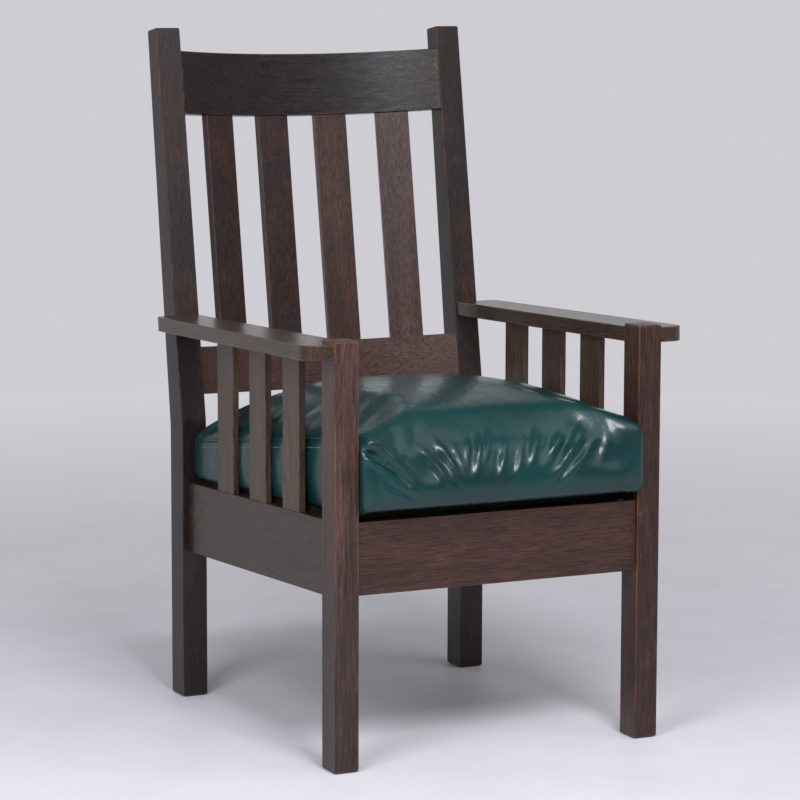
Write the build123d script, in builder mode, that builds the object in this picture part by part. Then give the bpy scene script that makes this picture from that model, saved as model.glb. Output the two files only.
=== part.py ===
from build123d import *
from math import asin, cos, degrees, radians, sin, sqrt, tan
import os

os.makedirs("parts", exist_ok=True)

# Oak armchair with a fixed raked back, slatted sides and a loose cushion.
# The front is towards -Y, and left and right are as seen from in front.

# Overall sizes
post_span = 576
frame_depth = 650
back_rake = 9.1
seat_slope = 2.0
arm_slope = 1.4

# Posts
front_post_width = 41
front_post_depth = 47.5
front_post_proud = 4
rear_post_width = 44.3
rear_post_depth = 51
rear_post_top_depth = 35
kink_front_height = 473
back_rise = 659
kink_back_height = 460
kink_radius = 90
foot_chamfer = 3.5
post_top_round = 3
edge_round = 1.5

# Seat rails
seat_height = 391
rail_height = 119
front_rail_height = 114.5
rail_thickness = 22
front_rail_recess = 6
side_rail_recess = 11
rail_tenon_thickness = 10
rail_tenon_shoulder = 12
cross_tenon_length = 28
side_tenon_length = 19

# Pins through the tenons
pin_diameter = 3
pin_length = 30
pin_setback = 6
pin_inset = 23

# Arms
arm_front_height = 667
arm_thickness = 24
arm_front_overhang = 47
arm_back_overhang = 36.5
arm_setback = 2
arm_front_radius = 26
arm_back_radius = 18
arm_tenon_width = 25
arm_tenon_thickness = 10
arm_tenon_length = 15

# Side slats
side_slat_count = 3
side_slat_width = 63.5
side_slat_thickness = 11
side_slat_recess = 1.5
side_slat_pitch = 129
side_slat_centre = 317
side_slat_tenon_thickness = 7
side_slat_tenon_length = 12

# Bowed back
back_bow = 57
back_board_thickness = 20
back_board_recess = 2
crest_height = 107
crest_drop = 39
lower_rail_height = 80
lower_rail_rise = 46
back_tenon_thickness = 10
back_tenon_shoulder = 12
back_tenon_length = 25
back_slat_count = 4
back_slat_width = 58.5
back_slat_thickness = 14
back_slat_pitch = 111
back_slat_tenon_thickness = 8
back_slat_tenon_length = 14
slat_shoulder = 6
board_edge_round = 1.2
bow_edge_chamfer = 1

# Seat deck of slats on two cleats
deck_proud = 9
deck_thickness = 18
deck_slat_count = 6
deck_slat_width = 62
deck_end_gap = 1.5
deck_margin = 3
cleat_width = 20
cleat_height = 24
cleat_gap = 2

# Corner blocks
block_reach = 62
block_height = 56
block_rise = 22

# Screws
screw_diameter = 4
screw_head_diameter = 8
screw_head_depth = 2.4
cleat_screw_count = 3
cleat_screw_length = 36
deck_screw_length = 34
block_screw_length = 50
block_screw_spacing = 30

# Cushion
cushion_gap = 0.3
cushion_proud = 8
cushion_thickness = 172
cushion_shoulder = 108
cushion_swell = 1.1
cushion_side_bow = 26
cushion_end_bow = 9
cushion_corner_radius = 34
# Each section below the shoulder has its height as a share of the shoulder's
# and its draw-in as a share of the thickness
cushion_side_shares = ((0, 0.115), (0.05, 0.066), (0.16, 0.03), (0.36, 0.01), (0.68, 0.002))
cushion_crown_steps = 9
cushion_crown_sweep = 81
cushion_crown_corner_share = 0.62

# Clearances
tenon_fit = 0.15
pin_fit = 0.1
overrun = 5

# Places worked out from the sizes
rake = radians(back_rake)
rear_run = back_rise * tan(rake)
post_top_reach = back_rise / cos(rake)
crest_bottom = post_top_reach - crest_drop - crest_height
lower_rail_top = lower_rail_rise + lower_rail_height
post_top_run = rear_run + rear_post_top_depth * cos(rake)
crest_top_run = rear_run - crest_drop * sin(rake)
crest_run = crest_top_run + (back_board_recess + back_bow + back_board_thickness) * cos(rake)
overall_depth = cushion_proud + frame_depth - rear_post_depth + max(post_top_run, crest_run)
front_y = cushion_proud - overall_depth / 2
rear_y = front_y + frame_depth
front_post_back = front_y + front_post_depth
front_post_height = arm_front_height + front_post_proud
rear_post_front = rear_y - rear_post_depth
outer_x = post_span / 2
front_inner_x = outer_x - front_post_width
rear_inner_x = outer_x - rear_post_width
side_rail_outer = outer_x - side_rail_recess
side_rail_inner = side_rail_outer - rail_thickness
side_rail_middle = side_rail_outer - rail_thickness / 2
front_rail_y = front_y + front_rail_recess + rail_thickness / 2
rear_rail_y = rear_y - front_rail_recess - rail_thickness / 2
side_slat_middle = side_rail_outer - side_slat_recess - side_slat_thickness / 2
side_slat_inner = side_slat_middle - side_slat_thickness / 2


def rail_top(y):
    """Height of the seat rails' top edges at a depth in the chair."""
    return seat_height - (y - front_y) * tan(radians(seat_slope))


def deck_top(y):
    """Height of the top of the seat slats."""
    return rail_top(y) + deck_proud


def arm_top(y):
    """Height of the arms' upper faces."""
    return arm_front_height - (y - front_y) * tan(radians(arm_slope))


def arm_under(y):
    """Height of the arms' lower faces."""
    return arm_top(y) - arm_thickness / cos(radians(arm_slope))


def rear_face_y(z):
    """Depth of the raked front face of the rear posts at a height."""
    return rear_post_front + max(0, z - kink_front_height) * tan(rake)


def back_point(u, w, v):
    """Point of the raked back: across, behind the post fronts, and up along them."""
    y = rear_post_front + v * sin(rake) + w * cos(rake)
    z = kink_front_height + v * cos(rake) - w * sin(rake)
    return (u, y, z)


def back_plane(v):
    """Plane square to the raked posts at a distance up from their kink."""
    return Plane(origin=back_point(0, 0, v), x_dir=(1, 0, 0), z_dir=(0, sin(rake), cos(rake)))


def finish(part, name):
    part.label = name
    export_step(part, f"parts/{name}.step")
    print(name, len(part.solids()), round(part.volume / 1000, 1))


def finish_pair(right, name):
    """Write a right-hand piece and its left-hand mirror image."""
    with BuildPart() as left:
        mirror(right, about=Plane.YZ)
    finish(right, f"{name}_right")
    finish(left.part, f"{name}_left")


def peg(plane, across, along, length, grow=0, mode=Mode.ADD):
    """Tenon on a plane, or its mortise when grown and subtracted."""
    with BuildSketch(plane) as section:
        Rectangle(across + 2 * grow, along + 2 * grow)
    extrude(section.sketch, amount=length + grow, mode=mode)


def rod(plane, diameter, length, grow=0, mode=Mode.ADD):
    """Pin on a plane, or its hole when grown and subtracted."""
    with BuildSketch(plane) as section:
        Circle(diameter / 2 + grow)
    extrude(section.sketch, amount=length + grow, mode=mode)


def screw(plane, length, grow=0, mode=Mode.ADD):
    """Countersunk screw whose head lies in a plane, or its hole."""
    low = (Align.CENTER, Align.CENTER, Align.MIN)
    with Locations(plane.location):
        Cylinder(screw_diameter / 2 + grow, length + grow, align=low, mode=mode)
        head = screw_head_diameter / 2 + grow
        Cone(head, screw_diameter / 2 + grow, screw_head_depth + grow, align=low, mode=mode)


def side_band(x, thickness, y_start, y_end, bottom, top, mode=Mode.ADD):
    """Board in a side of the chair between two sloping edges, centred on x."""
    with BuildSketch(Plane.YZ.offset(x)) as outline:
        with BuildLine():
            Polyline(
                (y_start, bottom(y_start)),
                (y_end, bottom(y_end)),
                (y_end, top(y_end)),
                (y_start, top(y_start)),
                close=True,
            )
        make_face()
    extrude(outline.sketch, amount=thickness / 2, both=True, mode=mode)


def long_edges_of(board):
    """The four long edges of a board that lies in a side of the chair."""
    return board.faces().filter_by(Axis.X).edges().sort_by(SortBy.LENGTH)[-4:]


# Joints of the seat rails, each given by the plane of its shoulder
def cross_joint(side, y, inner_x, height):
    z = rail_top(y) - height / 2
    return Plane(origin=(side * inner_x, y, z), x_dir=(0, 1, 0), z_dir=(side, 0, 0))


def front_joint(side):
    return cross_joint(side, front_rail_y, front_inner_x, front_rail_height)


def rear_joint(side):
    return cross_joint(side, rear_rail_y, rear_inner_x, rail_height)


def rail_tenon(plane, height, grow=0, mode=Mode.ADD):
    tall = height - 2 * rail_tenon_shoulder
    peg(plane, rail_tenon_thickness, tall, cross_tenon_length, grow, mode)


def side_tenons(grow=0, mode=Mode.ADD):
    """Both tenons of a right side rail, or their mortises."""
    reach = side_tenon_length + grow
    side_band(
        side_rail_middle,
        rail_tenon_thickness + 2 * grow,
        front_post_back - reach,
        rear_post_front + reach,
        lambda y: rail_top(y) - rail_height + rail_tenon_shoulder - grow,
        lambda y: rail_top(y) - rail_tenon_shoulder + grow,
        mode,
    )


def cross_pins(side):
    """Planes where the pins of the front and rear rails enter the posts."""
    planes = []
    for y, face, inner_x, height, way in (
        (front_rail_y, front_y, front_inner_x, front_rail_height, 1),
        (rear_rail_y, rear_y, rear_inner_x, rail_height, -1),
    ):
        for z in (rail_top(y) - pin_inset, rail_top(y) - height + pin_inset):
            spot = (side * (inner_x + pin_setback), face, z)
            planes.append(Plane(origin=spot, x_dir=(1, 0, 0), z_dir=(0, way, 0)))
    return planes


def side_pins(side):
    """Planes where the pins of a side rail enter the posts."""
    planes = []
    for y in (front_post_back - pin_setback, rear_post_front + pin_setback):
        for z in (rail_top(y) - pin_inset, rail_top(y) - rail_height + pin_inset):
            planes.append(Plane(origin=(side * outer_x, y, z), x_dir=(0, 1, 0), z_dir=(-side, 0, 0)))
    return planes


def pin_holes(planes):
    for plane in planes:
        rod(plane, pin_diameter, pin_length, pin_fit, Mode.SUBTRACT)


# Joints of the arms
arm_middle = outer_x - front_post_width / 2


def arm_tenon(y, length, grow=0, mode=Mode.ADD):
    """Stub tenon of a right arm, running back from a depth."""
    z = (arm_top(y) + arm_under(y)) / 2
    plane = Plane(origin=(arm_middle, y, z), x_dir=(1, 0, 0), z_dir=(0, 1, 0))
    peg(plane, arm_tenon_width, arm_tenon_thickness, length, grow, mode)


def front_arm_tenon(grow=0, mode=Mode.ADD):
    start = front_post_back - arm_tenon_length - grow
    arm_tenon(start, 2 * arm_tenon_length, grow, mode)


def rear_arm_tenon(grow=0, mode=Mode.ADD):
    face = rear_face_y(arm_front_height - arm_thickness)
    arm_tenon(face - arm_tenon_length, 2 * arm_tenon_length, grow, mode)


# Joints of the side slats
def side_slat_places():
    first = front_y + side_slat_centre - side_slat_pitch * (side_slat_count - 1) / 2
    return [first + side_slat_pitch * index for index in range(side_slat_count)]


def side_slat_tenons(y, grow=0, mode=Mode.ADD):
    """Tenons of one side slat into the rail below and the arm above."""
    half = side_slat_width / 2 - slat_shoulder + grow
    side_band(
        side_slat_middle,
        side_slat_tenon_thickness + 2 * grow,
        y - half,
        y + half,
        lambda at: rail_top(at) - side_slat_tenon_length - grow,
        lambda at: arm_under(at) + side_slat_tenon_length + grow,
        mode,
    )


# Bow of the back boards, seen along the raked posts
bow_radius = (rear_inner_x**2 + back_bow**2) / (2 * back_bow)
bow_centre = back_board_recess + back_bow - bow_radius
board_end_back = bow_centre + sqrt((bow_radius + back_board_thickness) ** 2 - rear_inner_x**2)
back_tenon_depth = (back_board_recess + board_end_back) / 2


def bow_at(u, radius):
    """Depth behind the post fronts of an arc of the bow."""
    return bow_centre + sqrt(radius**2 - u**2)


def back_joint(side, bottom, height):
    spot = back_point(side * rear_inner_x, back_tenon_depth, bottom + height / 2)
    return Plane(origin=spot, x_dir=(0, cos(rake), -sin(rake)), z_dir=(side, 0, 0))


def back_tenon(side, bottom, height, grow=0, mode=Mode.ADD):
    tall = height - 2 * back_tenon_shoulder
    plane = back_joint(side, bottom, height)
    peg(plane, back_tenon_thickness, tall, back_tenon_length, grow, mode)


def back_slat_place(index):
    """Place of a back slat across the bow, and its turn to follow the curve."""
    u = back_slat_pitch * (index - (back_slat_count - 1) / 2)
    middle = bow_radius + back_board_thickness / 2
    return (u, bow_at(u, middle)), -degrees(asin(u / middle))


def back_slat_bar(index, width, thickness, start, end, grow=0, mode=Mode.ADD):
    """Bar along the raked back in a slat's place."""
    spot, turn = back_slat_place(index)
    with BuildSketch(back_plane(start)) as section:
        with Locations(spot):
            Rectangle(width + 2 * grow, thickness + 2 * grow, rotation=turn)
    extrude(section.sketch, amount=end - start, mode=mode)


def back_slat_tenons(index, grow=0, mode=Mode.ADD):
    width = back_slat_width - 2 * slat_shoulder
    start = lower_rail_top - back_slat_tenon_length - grow
    end = crest_bottom + back_slat_tenon_length + grow
    back_slat_bar(index, width, back_slat_tenon_thickness, start, end, grow, mode)


# Planes of the screws
def cleat_top(y):
    return deck_top(y) - deck_thickness / cos(radians(seat_slope))


def cleat_screws(side):
    """Planes where the screws of a cleat go into its side rail."""
    planes = []
    start = front_post_back + cleat_gap
    span = rear_post_front - front_post_back - 2 * cleat_gap
    for index in range(cleat_screw_count):
        y = start + span * (index + 0.5) / cleat_screw_count
        z = cleat_top(y) - cleat_height / 2
        spot = (side * (side_rail_inner - cleat_width), y, z)
        planes.append(Plane(origin=spot, x_dir=(0, 1, 0), z_dir=(side, 0, 0)))
    return planes


deck_plane = Plane(
    origin=(0, front_y, deck_top(front_y)),
    x_dir=(1, 0, 0),
    z_dir=(0, sin(radians(seat_slope)), cos(radians(seat_slope))),
)


def deck_slat_places():
    """Middle of each seat slat, measured back along the slope."""
    first = front_post_depth + deck_margin + deck_slat_width / 2
    last = frame_depth - rear_post_depth - deck_margin - deck_slat_width / 2
    step = (last - first) / (deck_slat_count - 1)
    return [first + step * index for index in range(deck_slat_count)]


def deck_screws(side):
    """Planes where the seat slats' screws go down into a cleat."""
    x = side * (side_rail_inner - cleat_width / 2)
    down = -deck_plane.z_dir
    return [
        Plane(origin=deck_plane.from_local_coords((x, y, 0)), x_dir=(1, 0, 0), z_dir=down)
        for y in deck_slat_places()
    ]


# Corner blocks, given by the post they fit round
def block_corner(end):
    """Inner corner of a post, the faces of its rails, and the way to the middle."""
    if end == "front":
        rail_face = front_rail_y + rail_thickness / 2
        return front_inner_x, front_post_back, rail_face, 1
    rail_face = rear_rail_y - rail_thickness / 2
    return rear_inner_x, rear_post_front, rail_face, -1


def block_bottom(end):
    corner_y = block_corner(end)[1]
    return rail_top(corner_y) - rail_height + block_rise


def block_screws(side, end):
    """Planes where a corner block's screws go into its post, one over the other."""
    post_x, post_y, rail_face, way = block_corner(end)
    middle_x = ((post_x - block_reach) + side_rail_inner) / 2
    middle_y = (rail_face + (post_y + way * block_reach)) / 2
    across = Vector(side_rail_inner - (post_x - block_reach), post_y + way * block_reach - rail_face, 0)
    inward = Vector(abs(across.Y), -way * across.X, 0).normalized()
    middle = block_bottom(end) + block_height / 2
    planes = []
    for z in (middle - block_screw_spacing / 2, middle + block_screw_spacing / 2):
        spot = (side * middle_x, middle_y, z)
        planes.append(Plane(origin=spot, x_dir=(0, 0, 1), z_dir=(side * inward.X, inward.Y, 0)))
    return planes


def all_block_screws(side):
    return block_screws(side, "front") + block_screws(side, "rear")


# Front posts
with BuildPart() as front_post:
    with BuildSketch():
        with Locations((outer_x - front_post_width / 2, front_y + front_post_depth / 2)):
            Rectangle(front_post_width, front_post_depth)
    extrude(amount=front_post_height)
    chamfer(front_post.edges().group_by(Axis.Z)[0], foot_chamfer)
    fillet(front_post.edges().filter_by(Axis.Z), edge_round)
    fillet(front_post.edges().group_by(Axis.Z)[-1], post_top_round)
    rail_tenon(front_joint(1), front_rail_height, tenon_fit, Mode.SUBTRACT)
    side_tenons(tenon_fit, Mode.SUBTRACT)
    front_arm_tenon(tenon_fit, Mode.SUBTRACT)
    pin_holes(cross_pins(1)[:2] + side_pins(1)[:2])
    for plane in block_screws(1, "front"):
        screw(plane, block_screw_length, pin_fit, Mode.SUBTRACT)
finish_pair(front_post.part, "front_post")

# Rear posts, sawn in one piece with the raked back
with BuildPart() as rear_post:
    with BuildSketch(Plane.YZ.offset(rear_inner_x)) as profile:
        with BuildLine():
            Polyline(
                (rear_post_front, 0),
                (rear_post_front, kink_front_height),
                back_point(0, 0, post_top_reach)[1:],
                back_point(0, rear_post_top_depth, post_top_reach)[1:],
                (rear_y, kink_back_height),
                (rear_y, 0),
                close=True,
            )
        make_face()
        kinks = profile.vertices().filter_by_position(
            Axis.Y, kink_back_height - overrun, kink_front_height + overrun
        )
        fillet(kinks, kink_radius)
    extrude(amount=rear_post_width)
    chamfer(rear_post.edges().group_by(Axis.Z)[0], foot_chamfer)
    long_edges = rear_post.faces().filter_by(Axis.X).edges().filter_by_position(
        Axis.Z, rear_post_depth, kink_front_height + back_rise - rear_post_depth
    )
    fillet(long_edges, edge_round)
    fillet(rear_post.faces().sort_by(Axis.Z)[-1].edges(), post_top_round)
    rail_tenon(rear_joint(1), rail_height, tenon_fit, Mode.SUBTRACT)
    side_tenons(tenon_fit, Mode.SUBTRACT)
    rear_arm_tenon(tenon_fit, Mode.SUBTRACT)
    back_tenon(1, crest_bottom, crest_height, tenon_fit, Mode.SUBTRACT)
    back_tenon(1, lower_rail_rise, lower_rail_height, tenon_fit, Mode.SUBTRACT)
    pin_holes(cross_pins(1)[2:] + side_pins(1)[2:])
    for plane in block_screws(1, "rear"):
        screw(plane, block_screw_length, pin_fit, Mode.SUBTRACT)
finish_pair(rear_post.part, "rear_post")

# Front and rear seat rails
for name, y, inner_x, height, joint, pins in (
    ("front_seat_rail", front_rail_y, front_inner_x, front_rail_height, front_joint, slice(0, 2)),
    ("rear_seat_rail", rear_rail_y, rear_inner_x, rail_height, rear_joint, slice(2, 4)),
):
    with BuildPart() as cross_rail:
        with BuildSketch(Plane.XY.offset(rail_top(y) - height)):
            with Locations((0, y)):
                Rectangle(2 * inner_x, rail_thickness)
        extrude(amount=height)
        fillet(cross_rail.edges().filter_by(Axis.X), edge_round)
        for side in (-1, 1):
            rail_tenon(joint(side), height)
            pin_holes(cross_pins(side)[pins])
    finish(cross_rail.part, name)

# Side seat rails, with the mortises of the side slats
with BuildPart() as side_rail:
    side_band(
        side_rail_middle,
        rail_thickness,
        front_post_back,
        rear_post_front,
        lambda y: rail_top(y) - rail_height,
        rail_top,
    )
    fillet(long_edges_of(side_rail), edge_round)
    side_tenons()
    for y in side_slat_places():
        side_slat_tenons(y, tenon_fit, Mode.SUBTRACT)
    pin_holes(side_pins(1))
    for plane in cleat_screws(1):
        screw(plane, cleat_screw_length, pin_fit, Mode.SUBTRACT)
finish_pair(side_rail.part, "side_seat_rail")

# Side slats
for index, y in enumerate(side_slat_places(), start=1):
    with BuildPart() as side_slat:
        side_band(
            side_slat_middle,
            side_slat_thickness,
            y - side_slat_width / 2,
            y + side_slat_width / 2,
            rail_top,
            arm_under,
        )
        fillet(side_slat.edges().filter_by(Axis.Z), board_edge_round)
        side_slat_tenons(y)
    finish_pair(side_slat.part, f"side_slat_{index}")

# Arms, wider in front, notched round the front posts and butted to the raked rear posts
with BuildPart() as arm:
    slope = radians(arm_slope)
    arm_plane = Plane(
        origin=(0, front_y, arm_front_height),
        x_dir=(1, 0, 0),
        z_dir=(0, sin(slope), cos(slope)),
    )
    with BuildSketch(arm_plane):
        with BuildLine():
            Polyline(
                (front_inner_x, arm_setback),
                (outer_x + arm_front_overhang, arm_setback),
                (outer_x + arm_back_overhang, frame_depth),
                (front_inner_x, frame_depth),
                close=True,
            )
        make_face()
    extrude(amount=-arm_thickness)
    face = Plane(origin=back_point(0, 0, 0), x_dir=(1, 0, 0), z_dir=(0, cos(rake), -sin(rake)))
    split(bisect_by=face, keep=Keep.BOTTOM)
    corners = arm.faces().sort_by(Axis.X)[-1].edges().sort_by(SortBy.LENGTH)[:2].sort_by(Axis.Y)
    fillet(corners[0], arm_front_radius)
    fillet(corners[1], arm_back_radius)
    rims = arm.faces().filter_by(lambda f: abs(f.normal_at().Z) > cos(rake)).edges()
    fillet(rims.filter_by_position(Axis.Y, front_y, rear_post_front), edge_round)
    with BuildSketch(Plane.XY.offset(arm_front_height - 2 * arm_thickness)):
        with Locations((front_inner_x - overrun, front_y - overrun)):
            Rectangle(
                front_post_width + overrun,
                front_post_depth + overrun,
                align=(Align.MIN, Align.MIN),
            )
    extrude(amount=3 * arm_thickness, mode=Mode.SUBTRACT)
    front_arm_tenon()
    rear_arm_tenon()
    for y in side_slat_places():
        side_slat_tenons(y, tenon_fit, Mode.SUBTRACT)
finish_pair(arm.part, "arm")

# Bowed crest and lower back rails
for name, bottom, height in (
    ("crest_rail", crest_bottom, crest_height),
    ("lower_back_rail", lower_rail_rise, lower_rail_height),
):
    with BuildPart() as back_rail:
        with BuildSketch(back_plane(bottom)):
            with BuildLine():
                front_arc = ThreePointArc(
                    (-rear_inner_x, back_board_recess),
                    (0, bow_at(0, bow_radius)),
                    (rear_inner_x, back_board_recess),
                )
                back_arc = ThreePointArc(
                    (-rear_inner_x, board_end_back),
                    (0, bow_at(0, bow_radius + back_board_thickness)),
                    (rear_inner_x, board_end_back),
                )
                Line(front_arc @ 0, back_arc @ 0)
                Line(front_arc @ 1, back_arc @ 1)
            make_face()
        extrude(amount=height)
        chamfer(back_rail.edges().filter_by(GeomType.CIRCLE), bow_edge_chamfer)
        for side in (-1, 1):
            back_tenon(side, bottom, height)
        for index in range(back_slat_count):
            back_slat_tenons(index, tenon_fit, Mode.SUBTRACT)
    finish(back_rail.part, name)

# Back slats, each turned to follow the bow
for index in range(back_slat_count):
    with BuildPart() as back_slat:
        back_slat_bar(index, back_slat_width, back_slat_thickness, lower_rail_top, crest_bottom)
        along = Axis((0, 0, 0), back_plane(0).z_dir)
        fillet(back_slat.edges().filter_by(along), board_edge_round)
        back_slat_tenons(index)
    finish(back_slat.part, f"back_slat_{index + 1}")

# Cleats along the side rails
with BuildPart() as cleat:
    side_band(
        side_rail_inner - cleat_width / 2,
        cleat_width,
        front_post_back + cleat_gap,
        rear_post_front - cleat_gap,
        lambda y: cleat_top(y) - cleat_height,
        cleat_top,
    )
    for plane in cleat_screws(1):
        screw(plane, cleat_screw_length, pin_fit, Mode.SUBTRACT)
    for plane in deck_screws(1):
        screw(plane, deck_screw_length, pin_fit, Mode.SUBTRACT)
finish_pair(cleat.part, "seat_cleat")

# Seat slats across the cleats
for index, y in enumerate(deck_slat_places(), start=1):
    with BuildPart() as seat_slat:
        with BuildSketch(deck_plane):
            with Locations((0, y)):
                Rectangle(2 * (side_rail_inner - deck_end_gap), deck_slat_width)
        extrude(amount=-deck_thickness)
        fillet(seat_slat.edges().filter_by(Axis.X), edge_round)
        for side in (-1, 1):
            screw(deck_screws(side)[index - 1], deck_screw_length, pin_fit, Mode.SUBTRACT)
    finish(seat_slat.part, f"seat_slat_{index}")

# Corner blocks, notched round the posts
for end in ("front", "rear"):
    post_x, post_y, rail_face, way = block_corner(end)
    with BuildPart() as corner_block:
        with BuildSketch(Plane.XY.offset(block_bottom(end))):
            with BuildLine():
                Polyline(
                    (post_x - block_reach, rail_face),
                    (post_x, rail_face),
                    (post_x, post_y),
                    (side_rail_inner, post_y),
                    (side_rail_inner, post_y + way * block_reach),
                    close=True,
                )
            make_face()
        extrude(amount=block_height)
        for plane in block_screws(1, end):
            screw(plane, block_screw_length, pin_fit, Mode.SUBTRACT)
    finish_pair(corner_block.part, f"corner_block_{end}")

# Pins through the tenons of the seat rails
with BuildPart() as rail_pins:
    for side in (-1, 1):
        for plane in cross_pins(side) + side_pins(side):
            rod(plane, pin_diameter, pin_length)
finish(rail_pins.part, "rail_pins")

# Screws, one group for each kind
for name, length, planes in (
    ("cleat_screws", cleat_screw_length, cleat_screws),
    ("seat_slat_screws", deck_screw_length, deck_screws),
    ("corner_block_screws", block_screw_length, all_block_screws),
):
    with BuildPart() as screws:
        for side in (-1, 1):
            for plane in planes(side):
                screw(plane, length)
    finish(screws.part, name)

# Loose cushion, puffed out between the posts and crowned on top
# Its skin swells a little past the widest section
cushion_half_width = side_slat_inner - cushion_gap - cushion_swell
cushion_space = rear_post_front - cushion_gap - front_y + cushion_proud
cushion_half_depth = cushion_space / 2 - cushion_swell


def cushion_section(height, inset, corner):
    """Outline of the cushion at a height over the seat slats."""
    lean = height * tan(radians(seat_slope))
    middle = cushion_space / 2 - cushion_proud - lean
    half_width = cushion_half_width - inset
    half_depth = cushion_half_depth - inset * cushion_half_depth / cushion_half_width
    side = cushion_side_bow * half_width / cushion_half_width
    end = cushion_end_bow * half_width / cushion_half_width
    with BuildSketch(deck_plane.offset(cushion_gap + height)) as outline:
        with BuildLine():
            for way in (-1, 1):
                ThreePointArc(
                    (way * (half_width - side), middle - half_depth + end),
                    (way * half_width, middle),
                    (way * (half_width - side), middle + half_depth - end),
                )
                ThreePointArc(
                    (side - half_width, middle + way * (half_depth - end)),
                    (0, middle + way * half_depth),
                    (half_width - side, middle + way * (half_depth - end)),
                )
        make_face()
        fillet(outline.vertices(), corner)
    return outline.sketch


with BuildPart() as cushion:
    for height_share, inset_share in cushion_side_shares:
        add(
            cushion_section(
                height_share * cushion_shoulder,
                inset_share * cushion_thickness,
                cushion_corner_radius,
            )
        )
    for step in range(cushion_crown_steps + 1):
        turn = radians(cushion_crown_sweep * step / cushion_crown_steps)
        reach = cushion_half_width * cos(turn)
        rise = (cushion_thickness - cushion_shoulder) * sin(turn) / sin(radians(cushion_crown_sweep))
        grown = cushion_crown_corner_share * (cushion_half_width - reach) * cos(turn)
        add(
            cushion_section(
                cushion_shoulder + rise,
                cushion_half_width - reach,
                cushion_corner_radius * cos(turn) + grown,
            )
        )
    loft()
finish(cushion.part, "seat_cushion")
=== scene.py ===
import math

import bpy
from mathutils import Matrix, Vector
from mathutils import noise as field
from mathutils.bvhtree import BVHTree


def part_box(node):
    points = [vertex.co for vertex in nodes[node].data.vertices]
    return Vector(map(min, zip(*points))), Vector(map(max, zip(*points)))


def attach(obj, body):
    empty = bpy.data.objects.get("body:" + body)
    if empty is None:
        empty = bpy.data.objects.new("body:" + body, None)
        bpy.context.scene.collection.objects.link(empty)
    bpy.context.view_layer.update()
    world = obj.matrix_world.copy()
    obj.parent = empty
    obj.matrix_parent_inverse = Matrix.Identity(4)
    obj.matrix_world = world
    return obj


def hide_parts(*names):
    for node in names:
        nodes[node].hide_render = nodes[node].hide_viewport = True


# Dark oak armchair with a loose green leather cushion, in a plain pale studio

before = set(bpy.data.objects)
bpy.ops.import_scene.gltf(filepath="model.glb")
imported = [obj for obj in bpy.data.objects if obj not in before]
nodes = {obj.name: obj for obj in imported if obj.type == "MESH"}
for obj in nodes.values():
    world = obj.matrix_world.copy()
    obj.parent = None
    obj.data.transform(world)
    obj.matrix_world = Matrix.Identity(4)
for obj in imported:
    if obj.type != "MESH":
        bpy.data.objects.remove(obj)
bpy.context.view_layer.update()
front_face_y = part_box("front_post_left")[0].y

# Camera, fitted to the photograph's straight edges
camera_yaw = math.radians(-26.63)
camera_pitch = math.radians(7.59)
camera_roll = math.radians(0.14)
camera_distance = 5.273
camera_lens = 145.93
camera_reach = 400
camera_aim_across = -0.0423
camera_aim_back = 0.27
camera_aim_height = 0.5366
camera_target = Vector((camera_aim_across, front_face_y + camera_aim_back, camera_aim_height))


def make_camera():
    """Camera that looks at its target from the front left."""
    back = Vector(
        (
            math.sin(camera_yaw) * math.cos(camera_pitch),
            -math.cos(camera_yaw) * math.cos(camera_pitch),
            math.sin(camera_pitch),
        )
    )
    camera = bpy.data.objects.new("camera", bpy.data.cameras.new("camera"))
    bpy.context.scene.collection.objects.link(camera)
    camera.data.lens = camera_lens
    camera.data.clip_end = camera_reach
    camera.location = camera_target + back * camera_distance
    aim = (-back).to_track_quat("-Z", "Y").to_matrix()
    camera.rotation_euler = (aim @ Matrix.Rotation(camera_roll, 3, "Z")).to_euler()
    bpy.context.scene.camera = camera


# Short calls for building materials


def node(tree, kind, inputs=None, **settings):
    """Adds a node, with its settings and its inputs as values or sockets."""
    made = tree.nodes.new(kind)
    for key, value in settings.items():
        setattr(made, key, value)
    for key, value in (inputs or {}).items():
        if isinstance(value, bpy.types.NodeSocket):
            tree.links.new(value, made.inputs[key])
        else:
            made.inputs[key].default_value = value
    return made


def new_material(name):
    """An empty material with its shader, and the tree to build it in."""
    material = bpy.data.materials.new(name)
    material.use_nodes = True
    tree = material.node_tree
    tree.nodes.clear()
    shader = node(tree, "ShaderNodeBsdfPrincipled")
    node(tree, "ShaderNodeOutputMaterial", {"Surface": shader.outputs["BSDF"]})
    return material, tree, shader


def stretched(tree, origin, scale):
    """Object coordinates moved and scaled, for a pattern that runs along a board."""
    coords = node(tree, "ShaderNodeTexCoord").outputs["Object"]
    moved = node(tree, "ShaderNodeMapping", {"Vector": coords, "Location": origin, "Scale": scale})
    return moved.outputs["Vector"]


def noise(tree, vector, scale, detail=3, rough=0.5, distortion=0):
    """Irregular pattern of values between 0 and 1."""
    inputs = {
        "Vector": vector,
        "Scale": scale,
        "Detail": detail,
        "Roughness": rough,
        "Distortion": distortion,
    }
    return node(tree, "ShaderNodeTexNoise", inputs).outputs["Fac"]


def ramp(tree, value, low, high, to_low=0, to_high=1):
    """Maps a value from one span to another, held at the ends."""
    made = node(
        tree,
        "ShaderNodeMapRange",
        {"Value": value, "From Min": low, "From Max": high, "To Min": to_low, "To Max": to_high},
    )
    return made.outputs["Result"]


def math_of(tree, operation, first, second):
    made = node(tree, "ShaderNodeMath", {0: first, 1: second}, operation=operation)
    return made.outputs["Value"]


def times(tree, first, second):
    return math_of(tree, "MULTIPLY", first, second)


def plus(tree, first, second):
    return math_of(tree, "ADD", first, second)


def unmoved(tree):
    """Plain object coordinates."""
    return stretched(tree, (0, 0, 0), (1, 1, 1))


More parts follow.
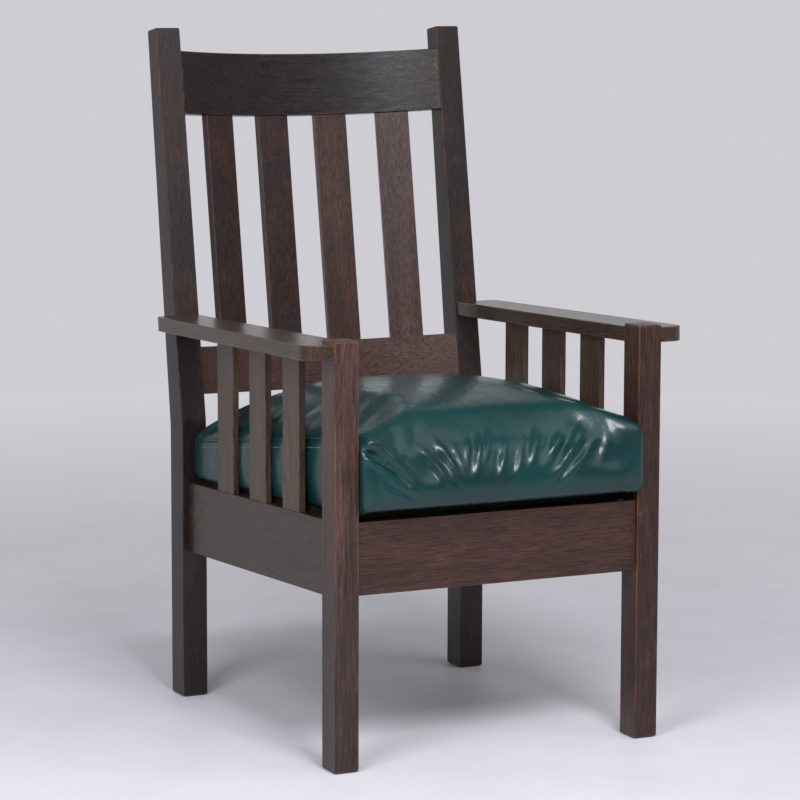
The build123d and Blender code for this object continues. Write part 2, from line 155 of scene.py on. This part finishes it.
def scaled(tree, colour, share):
    made = node(tree, "ShaderNodeVectorMath", {0: colour, "Scale": share}, operation="SCALE")
    return made.outputs["Vector"]


def mixed(tree, share, first, second):
    """Goes from the first colour to the second as the share rises from 0 to 1.

    The node has sockets of the same name for each type, so the colours' go by number.
    """
    made = node(tree, "ShaderNodeMix", {"Factor": share}, data_type="RGBA")
    for socket, value in ((made.inputs[6], first), (made.inputs[7], second)):
        if isinstance(value, bpy.types.NodeSocket):
            tree.links.new(value, socket)
        else:
            socket.default_value = (*value, 1)
    return made.outputs[2]


def roughen(tree, shader, height, strength):
    """Gives a surface fine relief from a pattern of heights."""
    inputs = {"Height": height, "Strength": strength, "Distance": relief_depth}
    bump = node(tree, "ShaderNodeBump", inputs)
    tree.links.new(bump.outputs["Normal"], shader.inputs["Normal"])


relief_depth = 0.0005

# Fumed oak. Pattern scales are in waves per metre across the grain
bare_oak = (0.30, 0.095, 0.035)
open_pore = (0.003, 0.002, 0.002)
along_grain = 0.055
along_share = {"x": (along_grain, 1, 1), "y": (1, along_grain, 1), "z": (1, 1, along_grain)}
tone_scale = 22
patch_scale = 13
streak_scale = 420
pore_scale = 1100
fleck_scale = 130
rub_scale = 240
plane_scale = 100
wear_scale = 150
wear_width = 0.0035
patch_share = 0.45
fleck_share = 0.55
pore_share = 0.75
rub_share = 0.5
plane_depth = 2.5
oak_relief = 0.5
# Heights over which painted shade runs from darker at the bottom to paler at the top
shaded_height = (0.1, 0.65)


def oak(name, grain, dark, warm, pale, offset, wear=0.3, gloss=0.36, painted_shade_rise=0):
    """Oak with long grain, open pores, ray flecks and edges rubbed through to bare wood.

    The offset gives each board a grain of its own. The last argument paints shade on it: darker
    towards the bottom, paler towards the top.
    """
    material, tree, shader = new_material(name)
    lengthwise = stretched(tree, offset, along_share[grain])
    around = stretched(tree, offset, (1, 1, 1))
    tone = ramp(tree, noise(tree, lengthwise, tone_scale, 4, 0.6), 0.3, 0.7)
    patch = ramp(tree, noise(tree, around, patch_scale, 5, 0.7), 0.5, 0.75)
    streak = noise(tree, lengthwise, streak_scale, 6, 0.85, 0.2)
    pore = ramp(tree, noise(tree, lengthwise, pore_scale, 2, 0.6), 0.56, 0.68)
    wavy = noise(tree, lengthwise, fleck_scale, 2, 0.5, 2.5)
    fleck = times(tree, ramp(tree, wavy, 0.57, 0.62), patch)
    rubbed = times(tree, ramp(tree, noise(tree, around, rub_scale, 4, 0.7), 0.58, 0.72), patch)
    colour = mixed(tree, tone, dark, warm)
    colour = mixed(tree, times(tree, patch, patch_share), colour, pale)
    colour = scaled(tree, colour, ramp(tree, streak, 0.4, 0.6, 0.3, 1.7))
    # Painted shade: darker towards the bottom, paler towards the top
    if painted_shade_rise:
        height = node(tree, "ShaderNodeSeparateXYZ", {"Vector": unmoved(tree)}).outputs["Z"]
        colour = scaled(tree, colour, ramp(tree, height, *shaded_height, 1 - painted_shade_rise, 1 + painted_shade_rise))
    colour = mixed(tree, times(tree, fleck, fleck_share), colour, pale)
    colour = mixed(tree, times(tree, pore, pore_share), colour, open_pore)
    colour = mixed(tree, times(tree, rubbed, wear * rub_share), colour, bare_oak)
    colour = mixed(tree, worn_edge(tree, lengthwise, wear), colour, bare_oak)
    tree.links.new(colour, shader.inputs["Base Color"])
    rough = plus(tree, ramp(tree, streak, 0.3, 0.7, -0.06, 0.08), gloss)
    tree.links.new(rough, shader.inputs["Roughness"])
    shader.inputs["Coat Weight"].default_value = 0.12
    shader.inputs["Coat Roughness"].default_value = 0.25
    shader.inputs["Specular IOR Level"].default_value = 0.36
    planed = times(tree, noise(tree, lengthwise, plane_scale, 3, 0.6), plane_depth)
    roughen(tree, shader, math_of(tree, "SUBTRACT", plus(tree, streak, planed), pore), oak_relief)
    return material


def worn_edge(tree, vector, amount):
    """Share of bare wood along the edges, broken up along their length."""
    inner = node(
        tree,
        "ShaderNodeAmbientOcclusion",
        {"Distance": wear_width},
        samples=6,
        inside=True,
        only_local=True,
    )
    edge = ramp(tree, inner.outputs["AO"], 0.9, 0.62)
    broken = ramp(tree, noise(tree, vector, wear_scale, 5, 0.8), 0.46, 0.58)
    return times(tree, times(tree, edge, broken), amount)


# Leather, thread and steel
leather_dark = (0.001, 0.025, 0.027)
leather_pale = (0.002, 0.043, 0.043)
thread_dark = (0.16, 0.22, 0.18)
thread_pale = (0.30, 0.38, 0.32)
steel_dark = (0.25, 0.23, 0.2)
steel_pale = (0.5, 0.48, 0.45)
# Painted shade: nearly black tones for the slit under the welt
slit_shade_dark = (0.001, 0.003, 0.003)
slit_shade_pale = (0.002, 0.008, 0.007)
leather_tone_scale = 7
leather_gloss_scale = 30
coarse_grain_scale = 90
fine_grain_scale = 700
crumple_scale = 48
crumple_stretch = (1, 0.5, 0.45)
grain_depth = 0.4
crumple_depth = 7
leather_relief = 0.3
thread_scale = 900
slit_shade_scale = 200
steel_scale = 400


def leather(name):
    """Glossy dark green leather with a fine grain and slight crumples."""
    material, tree, shader = new_material(name)
    around = unmoved(tree)
    tone = ramp(tree, noise(tree, around, leather_tone_scale, 4, 0.6), 0.35, 0.7)
    tree.links.new(mixed(tree, tone, leather_dark, leather_pale), shader.inputs["Base Color"])
    gloss = noise(tree, around, leather_gloss_scale, 4, 0.6)
    rough = ramp(tree, gloss, 0.3, 0.7, 0.24, 0.34)
    tree.links.new(rough, shader.inputs["Roughness"])
    shader.inputs["Specular IOR Level"].default_value = 0.38
    shader.inputs["Coat Weight"].default_value = 0.15
    shader.inputs["Coat Roughness"].default_value = 0.15
    fine = noise(tree, around, fine_grain_scale, 3, 0.6)
    grain = plus(tree, fine, noise(tree, around, coarse_grain_scale, 3, 0.6))
    along = stretched(tree, (0, 0, 0), crumple_stretch)
    crumpled = noise(tree, along, crumple_scale, 3, 0.5, 0.8)
    height = plus(tree, times(tree, grain, grain_depth), times(tree, crumpled, crumple_depth))
    roughen(tree, shader, height, leather_relief)
    return material


def thread(name):
    """Pale green sewing thread."""
    material, tree, shader = new_material(name)
    tone = mixed(tree, noise(tree, unmoved(tree), thread_scale), thread_dark, thread_pale)
    tree.links.new(tone, shader.inputs["Base Color"])
    shader.inputs["Roughness"].default_value = 0.6
    return material


def slit_painted_shade(name):
    """Nearly black line in the slit under the welt: painted shade, not the leather's own colour.
    """
    material, tree, shader = new_material(name)
    tone = mixed(tree, noise(tree, unmoved(tree), slit_shade_scale), slit_shade_dark, slit_shade_pale)
    tree.links.new(tone, shader.inputs["Base Color"])
    shader.inputs["Roughness"].default_value = 0.8
    return material


def steel(name):
    """Dull steel of the screws."""
    material, tree, shader = new_material(name)
    tone = noise(tree, unmoved(tree), steel_scale, 3, 0.6)
    tree.links.new(mixed(tree, tone, steel_dark, steel_pale), shader.inputs["Base Color"])
    tree.links.new(ramp(tree, tone, 0.3, 0.7, 0.3, 0.5), shader.inputs["Roughness"])
    shader.inputs["Metallic"].default_value = 1
    return material


def dress(names, material):
    """Puts a material on all faces of the named pieces."""
    for name in names:
        for socket in nodes[name].material_slots:
            socket.material = material


def both(*names):
    return [f"{name}_{side}" for name in names for side in ("left", "right")]


# Tones of the oak, as each member shows them
black_brown = (0.009, 0.006, 0.006)
painted_shade_brown = (0.018, 0.011, 0.007)
dark_brown = (0.020, 0.009, 0.006)
purple_brown = (0.024, 0.012, 0.012)
grey_brown = (0.048, 0.029, 0.018)
red_brown = (0.054, 0.021, 0.014)
rose_brown = (0.070, 0.036, 0.029)
orange_brown = (0.080, 0.029, 0.014)
olive_brown = (0.095, 0.058, 0.034)
pin_brown = (0.006, 0.004, 0.003)
red_oak = (dark_brown, red_brown, orange_brown)
rose_oak = (dark_brown, rose_brown, orange_brown)
grey_oak = (dark_brown, grey_brown, orange_brown)
# Nearly black oak for the seat deck, cleats and corner blocks: painted shade of the dark space
# under the cushion
painted_shade_oak = (black_brown, painted_shade_brown, painted_shade_brown)


def dress_posts():
    # The left front post gets painted shade, darker towards its foot
    left = oak("oak_front_left", "z", *rose_oak, (0, 0, 2), wear=0.8, painted_shade_rise=0.45)
    right = oak("oak_front_right", "z", *red_oak, (3, 1, 2), wear=0.7)
    dress(["front_post_left"], left)
    dress(["front_post_right"], right)
    for side, shift in (("left", (5, 2, 1)), ("right", (7, 3, 4))):
        tones = (black_brown, dark_brown, red_brown)
        post = oak(f"oak_rear_{side}", "z", *tones, shift, wear=0.4, gloss=0.42)
        dress([f"rear_post_{side}"], post)


def dress_rails_and_arms():
    side_tones = (dark_brown, grey_brown, red_brown)
    crest_tones = (black_brown, black_brown, purple_brown)
    lower_tones = (red_brown, rose_brown, olive_brown)
    dress(["front_seat_rail"], oak("oak_apron", "x", *red_oak, (1, 4, 2), wear=0.35))
    dress(["rear_seat_rail"], oak("oak_rear_rail", "x", *red_oak, (2, 4, 6), wear=0.2))
    dress(both("side_seat_rail"), oak("oak_side_rails", "y", *side_tones, (4, 1, 3), wear=0.15))
    dress(["arm_left"], oak("oak_arm_left", "y", *grey_oak, (6, 2, 5), wear=0.7, gloss=0.22))
    dress(["arm_right"], oak("oak_arm_right", "y", *grey_oak, (8, 5, 1), wear=0.7, gloss=0.22))
    dress(["crest_rail"], oak("oak_crest", "x", *crest_tones, (3, 6, 1), wear=0.4, gloss=0.26))
    dress(["lower_back_rail"], oak("oak_lower", "x", *lower_tones, (5, 8, 3), wear=0.2))


def dress_slats():
    for index in (1, 2, 3):
        tones = (grey_brown, olive_brown, red_brown)
        slat = oak(f"oak_side_slat_{index}", "z", *tones, (9 + index, index, 2), wear=0.05)
        dress(both(f"side_slat_{index}"), slat)
    for index, warm in enumerate((purple_brown, purple_brown, red_brown, rose_brown), 1):
        tones = (dark_brown, warm, orange_brown)
        slat = oak(f"oak_back_slat_{index}", "z", *tones, (12 + 2 * index, index, 5))
        dress([f"back_slat_{index}"], slat)


def dress_hidden_parts():
    # Painted shade: deck slats, cleats and corner blocks are darkened to read as the shade under
    # the cushion
    deck = oak("oak_plain", "x", *painted_shade_oak, (2, 2, 2), wear=0, gloss=0.6)
    blocks = oak("oak_cleats_painted_shade", "y", *painted_shade_oak, (4, 2, 2), wear=0, gloss=0.6)
    pins = oak("oak_pins", "z", pin_brown, black_brown, black_brown, (1, 1, 1), wear=0)
    dress([f"seat_slat_{index}" for index in range(1, 7)], deck)
    dress(both("seat_cleat", "corner_block_front", "corner_block_rear"), blocks)
    dress(["rail_pins"], pins)
    dress(["cleat_screws", "seat_slat_screws", "corner_block_screws"], steel("screw_steel"))


def dress_frame():
    dress_posts()
    dress_rails_and_arms()
    dress_slats()
    dress_hidden_parts()


# Studio
floor_reach = 300
floor_colour = (0.77, 0.755, 0.81)
floor_mottle = 0.04
floor_rough = 0.55
backdrop_colour = (0.62, 0.611, 0.65)
backdrop_start = 0.6
backdrop_end = 4.2
world_colour = (0.97, 0.97, 1)

# Light of the room's walls and ceiling, from in front of the chair to behind it
wall_span = (-0.5, 0.45)
wall_light = (0.23, 0.64)
ceiling_span = (-0.6, 0.1)
ceiling_light = (0.65, 0.2)
wall_top = 0.26
ceiling_start = 0.6

# Each lamp's name, place, aim, size, power and colour
lamps = (
    ("front", (-0.4, -2.75, 2.85), (0, 0, 0.4), (1.0, 1.0), 80, (0.96, 0.96, 1)),
    ("left", (-1.9, -1.6, 1.8), (0, 0, 0.5), (0.9, 1.7), 38, (0.94, 0.95, 1)),
    ("right", (1.6, -2.4, 3.6), (0, 0, 0.4), (2.6, 2.6), 20, (0.98, 0.98, 1)),
)


def make_floor():
    """Pale floor that goes over into an evenly lit backdrop with the distance."""
    mesh = bpy.data.meshes.new("floor")
    signs = ((-1, -1), (1, -1), (1, 1), (-1, 1))
    mesh.from_pydata([(x * floor_reach, y * floor_reach, 0) for x, y in signs], [], [(0, 1, 2, 3)])
    floor = bpy.data.objects.new("floor", mesh)
    bpy.context.scene.collection.objects.link(floor)
    material, tree, shader = new_material("floor")
    around = unmoved(tree)
    reach = node(tree, "ShaderNodeVectorMath", {0: around}, operation="LENGTH").outputs["Value"]
    share = ramp(tree, reach, backdrop_start, backdrop_end)
    spots = noise(tree, around, 5, 6, 0.65)
    mottle = ramp(tree, spots, 0.3, 0.7, 1 - floor_mottle, 1 + floor_mottle)
    own = scaled(tree, mixed(tree, share, floor_colour, (0, 0, 0)), mottle)
    tree.links.new(own, shader.inputs["Base Color"])
    shader.inputs["Roughness"].default_value = floor_rough
    tree.links.new(ramp(tree, share, 0, 1, 0.5, 0), shader.inputs["Specular IOR Level"])
    rays = node(tree, "ShaderNodeLightPath")
    seen = math_of(tree, "MAXIMUM", rays.outputs["Is Camera Ray"], rays.outputs["Is Glossy Ray"])
    shader.inputs["Emission Color"].default_value = (*backdrop_colour, 1)
    tree.links.new(times(tree, share, seen), shader.inputs["Emission Strength"])
    mesh.materials.append(material)


def make_light(name, place, aim, size, power, colour):
    """Rectangular lamp that faces its aim."""
    light = bpy.data.lights.new(name, "AREA")
    light.shape = "RECTANGLE"
    light.size, light.size_y = size
    light.energy = power
    light.color = colour
    lamp = bpy.data.objects.new(name, light)
    bpy.context.scene.collection.objects.link(lamp)
    lamp.location = place
    lamp.rotation_euler = (Vector(aim) - Vector(place)).to_track_quat("-Z", "Y").to_euler()


def make_world():
    """Studio room: a bright wall behind the chair, and light from high up in front."""
    world = bpy.data.worlds.new("studio")
    bpy.context.scene.world = world
    world.use_nodes = True
    tree = world.node_tree
    background = tree.nodes["Background"]
    seen = node(tree, "ShaderNodeLightPath").outputs["Is Camera Ray"]
    colour = mixed(tree, seen, world_colour, backdrop_colour)
    tree.links.new(colour, background.inputs["Color"])
    way = node(tree, "ShaderNodeTexCoord").outputs["Generated"]
    parts = node(tree, "ShaderNodeSeparateXYZ", {"Vector": way})
    wall = ramp(tree, parts.outputs["Y"], *wall_span, *wall_light)
    ceiling = ramp(tree, parts.outputs["Y"], *ceiling_span, *ceiling_light)
    height = ramp(tree, parts.outputs["Z"], wall_top, ceiling_start)
    light = plus(tree, wall, times(tree, math_of(tree, "SUBTRACT", ceiling, wall), height))
    tree.links.new(math_of(tree, "MAXIMUM", light, seen), background.inputs["Strength"])


def make_studio():
    make_floor()
    make_world()
    for lamp in lamps:
        make_light(*lamp)
    bpy.context.scene.view_settings.view_transform = "Standard"


# Wood round the cushion. Depths run back from the front posts' faces, where seat_front is
# the height of the cushion's underside
seat_slope = math.tan(math.radians(2))
seat_front = 0.4003
rear_front = 0.599
front_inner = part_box("front_post_right")[0].x
post_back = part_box("front_post_right")[1].y - front_face_y
rail_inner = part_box("side_seat_rail_right")[0].x
rail_drop = seat_front - post_back * seat_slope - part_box("side_seat_rail_right")[1].z
slat_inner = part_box("side_slat_1_right")[0].x
slat_margin = 0.003
slat_boxes = [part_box(f"side_slat_{index}_right") for index in (1, 2, 3)]
slat_spans = [
    (low.y - front_face_y - slat_margin, high.y - front_face_y + slat_margin)
    for low, high in slat_boxes
]

# How near the leather comes to the wood, and how far it swells past it
cushion_clear = 0.0006
post_arris = 0.003
post_opening = 0.9
swell_past_posts = 0.006
swell_past_slats = 0.004

# Cushion, drawn in the slope of the seat: across, back, and up from the seat slats
cushion_front = -0.025
cushion_back = 0.597
cushion_front_half = 0.2535
cushion_back_half = 0.272
cushion_front_pull = 0.03
cushion_back_pull = 0
cushion_front_rim = 0.106
cushion_back_rim = 0.064
cushion_rim_sag = 0.020
cushion_top = 0.157
cushion_foot = 0.009
cushion_sink = 0.008
cushion_front_lift = 0.0145
cushion_tuck = 0.003
side_curve = 0.3
depth_curve = 0.5
side_roundness = 2.8
front_squareness = 7
squareness_start = -0.1
grid_steps = 56
side_shares = (0.8, 0.6, 0.4, 0.22)
foot_turns = (15, 35, 55, 75, 90)
voxel_size = 0.006
smooth_rounds = 10

# Parts of the blank that are held while it fills: its foot, the front's foot, the seams
held_foot = 0.004
held_front_depth = 0.02
held_front_height = 0.018
held_seam_across = 0.21
held_seam_band = 0.004
front_hold = 0.9
seam_hold = 0.6

# Cloth as which the cushion is filled, and how far a point may move
fill_steps = 20
cushion_cap = 0.018
cloth_settings = {
    "quality": 6,
    "mass": 0.25,
    "tension_stiffness": 20,
    "compression_stiffness": 12,
    "shear_stiffness": 6,
    "bending_stiffness": 0.15,
    "use_pressure": True,
    "uniform_pressure_force": 4,
    "shrink_min": -0.004,
    "vertex_group_mass": "hold",
}

# Welt, a nearly black line of painted shade in the slit under it, and the top stitching
seam_back_height = 0.064
seam_front_height = 0.121
seam_radius = 0.0016
shade_line_drop = 0.0045
shade_line_radius = 0.0009
stitch_drop = 0.0135
stitch_length = 0.0045
stitch_pitch = 0.0075
stitch_radius = 0.0006
seam_step = 0.005
seam_side_steps = 110
seam_back_steps = 97
seam_start = 0.02
seam_end = 0.565
seam_turn = 0.24
ray_side = 0.4
ray_back = 0.8
thread_lift = 0.4
thread_clear = 0.0002

# Folds of the front, each from its upper to its lower end, with its width and height
front_folds = (
    ((-0.144, 0.100), (-0.108, 0.050), 0.0060, 0.0036),
    ((-0.113, 0.106), (-0.085, 0.050), 0.0055, 0.0042),
    ((-0.086, 0.100), (-0.074, 0.066), 0.0045, 0.0026),
    ((-0.060, 0.104), (-0.066, 0.070), 0.0045, 0.0022),
    ((-0.036, 0.108), (-0.056, 0.056), 0.0055, 0.0044),
    ((-0.016, 0.114), (-0.040, 0.070), 0.0050, 0.0034),
    ((0.006, 0.100), (-0.015, 0.050), 0.0050, 0.0032),
    ((0.032, 0.090), (0.015, 0.050), 0.0050, 0.0030),
    ((0.070, 0.112), (0.040, 0.064), 0.0060, 0.0034),
    ((0.107, 0.106), (0.068, 0.062), 0.0060, 0.0038),
    ((0.152, 0.116), (0.080, 0.044), 0.0065, 0.0060),
    ((0.168, 0.096), (0.076, 0.020), 0.0050, 0.0030),
    ((0.190, 0.108), (0.172, 0.060), 0.0070, 0.0016),
    ((0.214, 0.106), (0.204, 0.056), 0.0070, 0.0014),
    ((-0.250, 0.124), (-0.208, 0.098), 0.0090, 0.0060),
    ((-0.216, 0.104), (-0.158, 0.050), 0.0070, 0.0055),
    ((-0.250, 0.108), (-0.172, 0.052), 0.0060, -0.0075),
    ((-0.238, 0.094), (-0.196, 0.062), 0.0060, 0.0045),
    ((-0.206, 0.050), (-0.150, 0.016), 0.0050, -0.0036),
    ((-0.226, 0.062), (-0.214, 0.012), 0.0070, -0.0030),
    ((0.205, 0.028), (0.246, 0.006), 0.0060, -0.0030),
)
fold_reach = 0.12
fold_length = 1.5
fold_strength = 1.05
fold_variation = 0.8
fold_variation_scale = 45
fold_variation_layer = 0.1
fold_stir = 0.0026
fold_stir_scale = 34
fold_dip = 0.45
fold_dip_offset = 1.7
fold_fade = 2.2
fold_fade_start = 0.6


def to_seat(point):
    """Across, back and up over the seat slats."""
    back = point.y - front_face_y
    return point.x, back, point.z - seat_front + back * seat_slope


def from_seat(across, back, up):
    return Vector((across, front_face_y + back, seat_front - back * seat_slope + up))


def between(first, second, v):
    """Value that runs from first at the front, v = -1, to second at the back."""
    return first + (second - first) * (v + 1) / 2


def footprint(u, v, inset=0):
    """Point of the rounded outline's inside for u and v from -1 to 1."""
    reach = (cushion_back - cushion_front) / 2
    half = between(cushion_front_half, cushion_back_half, v)
    pull = between(cushion_front_pull, cushion_back_pull, v)
    across = (half - inset) * u * math.sqrt(1 - pull * v * v / 2)
    back = (reach - inset) * v * math.sqrt(1 - pull * u * u / 2)
    return across, cushion_front + reach + back


def rim_height(u, v):
    """Height at which the sides turn over into the top, lowest in the middle of the front."""
    sag = cushion_rim_sag * (1 - u * u) * max(0, -v)
    return between(cushion_front_rim, cushion_back_rim, v) - sag


def crown(u, v):
    """Height of the top over the seat, squared off across the front."""
    rim = rim_height(u, v)
    side_power = side_roundness + front_squareness * max(0, squareness_start - v)
    depth_power = 2 + 2 * v if v > 0 else 2 + u * u
    share = (1 - abs(u) ** side_power) ** side_curve * (1 - abs(v) ** depth_power) ** depth_curve
    return rim + (cushion_top - rim) * share


def cushion_blank():
    """Smooth crowned form, a little smaller than the finished cushion."""
    steps = [math.sin(math.pi / 2 * (2 * i / grid_steps - 1)) for i in range(grid_steps + 1)]
    side = grid_steps + 1
    points, faces = [], []
    for v in steps:
        for u in steps:
            points.append(from_seat(*footprint(u, v), crown(u, v)))
    for row in range(grid_steps):
        for column in range(grid_steps):
            first = row * side + column
            faces.append((first, first + 1, first + side + 1, first + side))
    ring = [(i, 0) for i in range(grid_steps)] + [(grid_steps, i) for i in range(grid_steps)]
    ring += [(grid_steps - i, grid_steps) for i in range(grid_steps)]
    ring += [(0, grid_steps - i) for i in range(grid_steps)]
    above = [row * side + column for column, row in ring]
    levels = [(share, cushion_tuck * (1 - share) ** 2, 0) for share in side_shares]
    for turn in (math.radians(angle) for angle in foot_turns):
        levels.append((0, cushion_tuck + cushion_foot * (1 - math.cos(turn)), 1 - math.sin(turn)))
    for share, inset, foot in levels:
        below = []
        for column, row in ring:
            below.append(len(points))
            u, v = steps[column], steps[row]
            # The foot rises close to the front edge
            lift = (cushion_front_lift * max(0, -v * 10 - 9) - cushion_sink) * (1 - share)
            up = rim_height(u, v) * share + cushion_foot * foot + lift
            points.append(from_seat(*footprint(u, v, inset), up))
        for index in range(len(ring)):
            after = (index + 1) % len(ring)
            faces.append((above[after], above[index], below[index], below[after]))
        above = below
    faces.append(tuple(reversed(above)))
    mesh = bpy.data.meshes.new("cushion")
    mesh.from_pydata(points, [], faces)
    return mesh


def seam_height(back):
    """Height of the side seams, rising towards the front corners."""
    share = min(1, max(0, 1 - back / rear_front))
    return seam_back_height + (seam_front_height - seam_back_height) * share


def hold_share(point):
    """How firmly a point of the blank is held while the cushion fills."""
    across, back, up = to_seat(point)
    if up < held_foot:
        return 1
    if back < held_front_depth:
        return front_hold if up < held_front_height else 0
    if abs(across) > held_seam_across and abs(up - seam_height(back)) < held_seam_band:
        return seam_hold
    return 0


def apply_modifiers(piece):
    """Puts the shape that the modifiers give in place of the piece's mesh."""
    graph = bpy.context.evaluated_depsgraph_get()
    made = bpy.data.meshes.new_from_object(piece.evaluated_get(graph))
    piece.modifiers.clear()
    piece.data = made


def side_limit(back):
    """Half the width that the wood at the sides leaves at a depth."""
    if back < post_back + cushion_clear:
        reach = front_inner - cushion_clear + post_opening * max(0, -back - post_arris)
        return min(front_inner + swell_past_posts, reach)
    reach = front_inner - cushion_clear + post_opening * max(0, back - post_back - post_arris)
    for low, high in slat_spans:
        if low < back < high:
            return min(reach, slat_inner - cushion_clear)
    return min(reach, slat_inner + swell_past_slats)


def fill_cushion(piece):
    """Blows the blank up as cloth without weight, then keeps it off the wood."""
    start = [vertex.co.copy() for vertex in piece.data.vertices]
    hold = piece.vertex_groups.new(name="hold")
    for vertex in piece.data.vertices:
        share = hold_share(vertex.co)
        if share:
            hold.add([vertex.index], share, "REPLACE")
    cloth = piece.modifiers.new("fill", "CLOTH")
    for name, value in cloth_settings.items():
        setattr(cloth.settings, name, value)
    cloth.settings.effector_weights.gravity = 0
    cloth.point_cache.frame_start = 1
    cloth.point_cache.frame_end = fill_steps
    for step in range(1, fill_steps + 1):
        bpy.context.scene.frame_set(step)
    apply_modifiers(piece)
    for vertex, old in zip(piece.data.vertices, start):
        move = vertex.co - old
        if move.length > cushion_cap:
            vertex.co = old + move * (cushion_cap / move.length)
        vertex.co = off_the_wood(vertex.co)


def off_the_wood(point):
    """Moves a point in from the wood beside and behind it, and up from the wood below."""
    across, back, up = to_seat(point)
    up = max(up, cushion_clear - (rail_drop if abs(across) > rail_inner + cushion_clear else 0))
    limit = side_limit(back)
    return from_seat(max(-limit, min(limit, across)), min(back, rear_front - cushion_clear), up)


def fold_height(across, up):
    """How far the folds lift a point of the front, as ridges with a dip beside them."""
    place = Vector((across, up, 0))
    stir = fold_stir * field.noise(place * fold_stir_scale)
    place.z = fold_variation_layer
    strength = fold_strength + fold_variation * field.noise(place * fold_variation_scale)
    total = 0
    for start, end, width, height in front_folds:
        run = Vector((end[0] - start[0], end[1] - start[1]))
        here = Vector((across - start[0], up - start[1]))
        along = here.dot(run) / run.length_squared
        if abs(along - 0.5) < fold_length / 2:
            off = ((here.x * run.y - here.y * run.x) / run.length + stir) / width
            taper = math.cos(math.pi * (along - 0.5) / fold_length) ** 2
            dip = fold_dip * math.exp(-(off - fold_dip_offset) ** 2)
            total += height * strength * taper * (math.exp(-off * off) - dip)
    return total


def fold_front(piece):
    """Presses the folds into the front and fades them out over its rounded top."""
    normals = [vertex.normal.copy() for vertex in piece.data.vertices]
    for vertex, normal in zip(piece.data.vertices, normals):
        across, back, up = to_seat(vertex.co)
        facing = min(1, max(0, -normal.y * fold_fade - fold_fade_start))
        if facing and back < fold_reach:
            vertex.co += normal * fold_height(across, up) * facing


def seam_path(tree, drop=0):
    """Points and outward directions of the seam round the sides and the back.

    Rays from well outside find the leather.
    """
    sides, backs = range(seam_side_steps), range(seam_back_steps)
    lines = [((-ray_side, seam_start + seam_step * step), (1, 0)) for step in sides]
    lines += [((-seam_turn + seam_step * step, ray_back), (0, -1)) for step in backs]
    lines += [((ray_side, seam_end - seam_step * step), (-1, 0)) for step in sides]
    path = []
    for (across, back), (to_right, to_back) in lines:
        origin = from_seat(across, back, seam_height(min(back, rear_front)) - drop)
        path.append(tree.ray_cast(origin, Vector((to_right, to_back, 0)))[:2])
    return path


def sunk(point, normal, radius):
    """A thread's or welt's place: half out of the leather, but never into the wood."""
    across, back, up = to_seat(point + normal * radius * thread_lift)
    limit = side_limit(back)
    limit += radius if limit > slat_inner else -radius
    back = min(back, rear_front - radius - thread_clear)
    return from_seat(max(-limit, min(limit, across)), back, up)


def curve_piece(name, runs, radius, material):
    """One piece with a run of round section through each list of points."""
    curve = bpy.data.curves.new(name, "CURVE")
    curve.dimensions = "3D"
    curve.bevel_depth = radius
    curve.bevel_resolution = 2
    curve.use_fill_caps = True
    for run in runs:
        spline = curve.splines.new("POLY")
        spline.points.add(len(run) - 1)
        for point, place in zip(spline.points, run):
            point.co = (*place, 1)
    curve.materials.append(material)
    piece = bpy.data.objects.new(name, curve)
    bpy.context.scene.collection.objects.link(piece)
    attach(piece, "cushion")


def sew_cushion(piece, hide):
    """Adds the seam's welt, a line of painted shade in the slit under it, and the top stitching.
    """
    tree = BVHTree.FromObject(piece, bpy.context.evaluated_depsgraph_get())
    welt = [sunk(point, normal, seam_radius) for point, normal in seam_path(tree)]
    curve_piece("cushion_seam", [welt], seam_radius, hide)
    # Painted shade: a nearly black tube in the slit under the welt
    shade_line = [sunk(point, normal, shade_line_radius) for point, normal in seam_path(tree, shade_line_drop)]
    curve_piece("cushion_seam_painted_shade", [shade_line], shade_line_radius, slit_painted_shade("seam_slit_painted_shade"))
    line = [sunk(point, normal, stitch_radius) for point, normal in seam_path(tree, stitch_drop)]
    stitches = []
    travelled = 0
    for first, second in zip(line, line[1:]):
        stride = (second - first).length
        travelled += stride
        if travelled >= stitch_pitch:
            travelled = 0
            stitches.append([first, first + (second - first) * (stitch_length / stride)])
    curve_piece("cushion_stitches", stitches, stitch_radius, thread("seam_thread"))


def dress_cushion():
    """Cushion in place of the plain solid, with its folds and its seam."""
    piece = bpy.data.objects.new("cushion", cushion_blank())
    bpy.context.scene.collection.objects.link(piece)
    remesh = piece.modifiers.new("remesh", "REMESH")
    remesh.mode = "VOXEL"
    remesh.voxel_size = voxel_size
    apply_modifiers(piece)
    fill_cushion(piece)
    even = piece.modifiers.new("even", "SMOOTH")
    even.iterations = smooth_rounds
    finer = piece.modifiers.new("finer", "SUBSURF")
    finer.levels = 1
    finer.render_levels = 1
    apply_modifiers(piece)
    fold_front(piece)
    for vertex in piece.data.vertices:
        vertex.co = off_the_wood(vertex.co)
    piece.data.shade_smooth()
    hide = leather("green_leather")
    piece.data.materials.append(hide)
    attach(piece, "cushion")
    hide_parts("seat_cushion")
    sew_cushion(piece, hide)


make_camera()
dress_frame()
make_studio()
dress_cushion()
